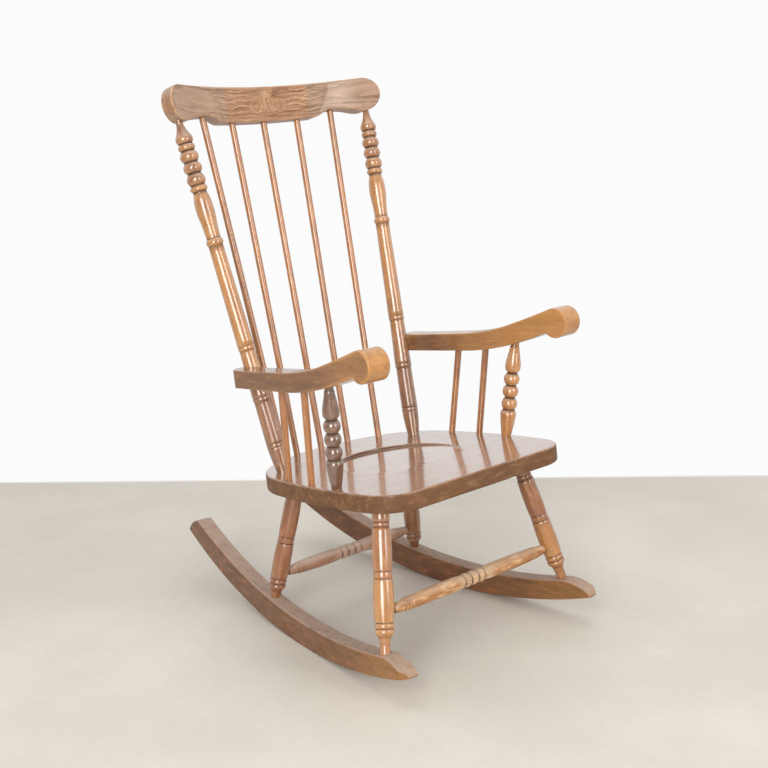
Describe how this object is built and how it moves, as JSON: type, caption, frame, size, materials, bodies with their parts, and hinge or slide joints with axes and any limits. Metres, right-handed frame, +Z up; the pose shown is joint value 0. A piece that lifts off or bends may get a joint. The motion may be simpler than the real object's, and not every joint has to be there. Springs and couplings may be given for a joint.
{
  "type": "rocking chair",
  "caption": "Turned wooden rocking chair with a carved crest rail over a spindle back, scrolled arms, shaped plank seat and toed-out curved rockers.",
  "frame": {"origin": "middle of the footprint box at floor level", "axes": "+Z up, front of the chair towards -Y; left and right in the names are as seen from the front, right towards +X"},
  "size_m": [0.5648, 0.8588, 1.1287],
  "materials": {
    "seat_wood": "glossy worn lacquer over red-brown stain",
    "crest_wood": "matt worn varnish, grey-brown",
    "rocker_wood": "dusty worn varnish",
    "arm_wood": "rubbed varnish, golden brown",
    "spindle_wood": "glossy varnish",
    "post_wood": "glossy varnish",
    "stretcher_wood": "dusty worn varnish",
    "leg_wood": "satin worn varnish",
    "screw_steel": "dull zinc"
  },
  "bodies": {
    "root": {"arm_left": "arm_wood", "arm_post_left": "post_wood", "arm_post_right": "post_wood", "arm_right": "arm_wood", "arm_screw_left": "screw_steel", "arm_screw_right": "screw_steel", "arm_spindle_left_front": "spindle_wood", "arm_spindle_left_rear": "spindle_wood", "arm_spindle_right_front": "spindle_wood", "arm_spindle_right_rear": "spindle_wood", "back_post_left": "post_wood", "back_post_right": "post_wood", "back_spindle_1": "spindle_wood", "back_spindle_2": "spindle_wood", "back_spindle_3": "spindle_wood", "back_spindle_4": "spindle_wood", "back_spindle_5": "spindle_wood", "crest_rail": "crest_wood", "front_stretcher": "stretcher_wood", "leg_front_left": "leg_wood", "leg_front_right": "leg_wood", "leg_rear_left": "leg_wood", "leg_rear_right": "leg_wood", "rear_stretcher": "stretcher_wood", "rocker_left": "rocker_wood", "rocker_right": "rocker_wood", "seat": "seat_wood"}
  },
  "joints": []
}
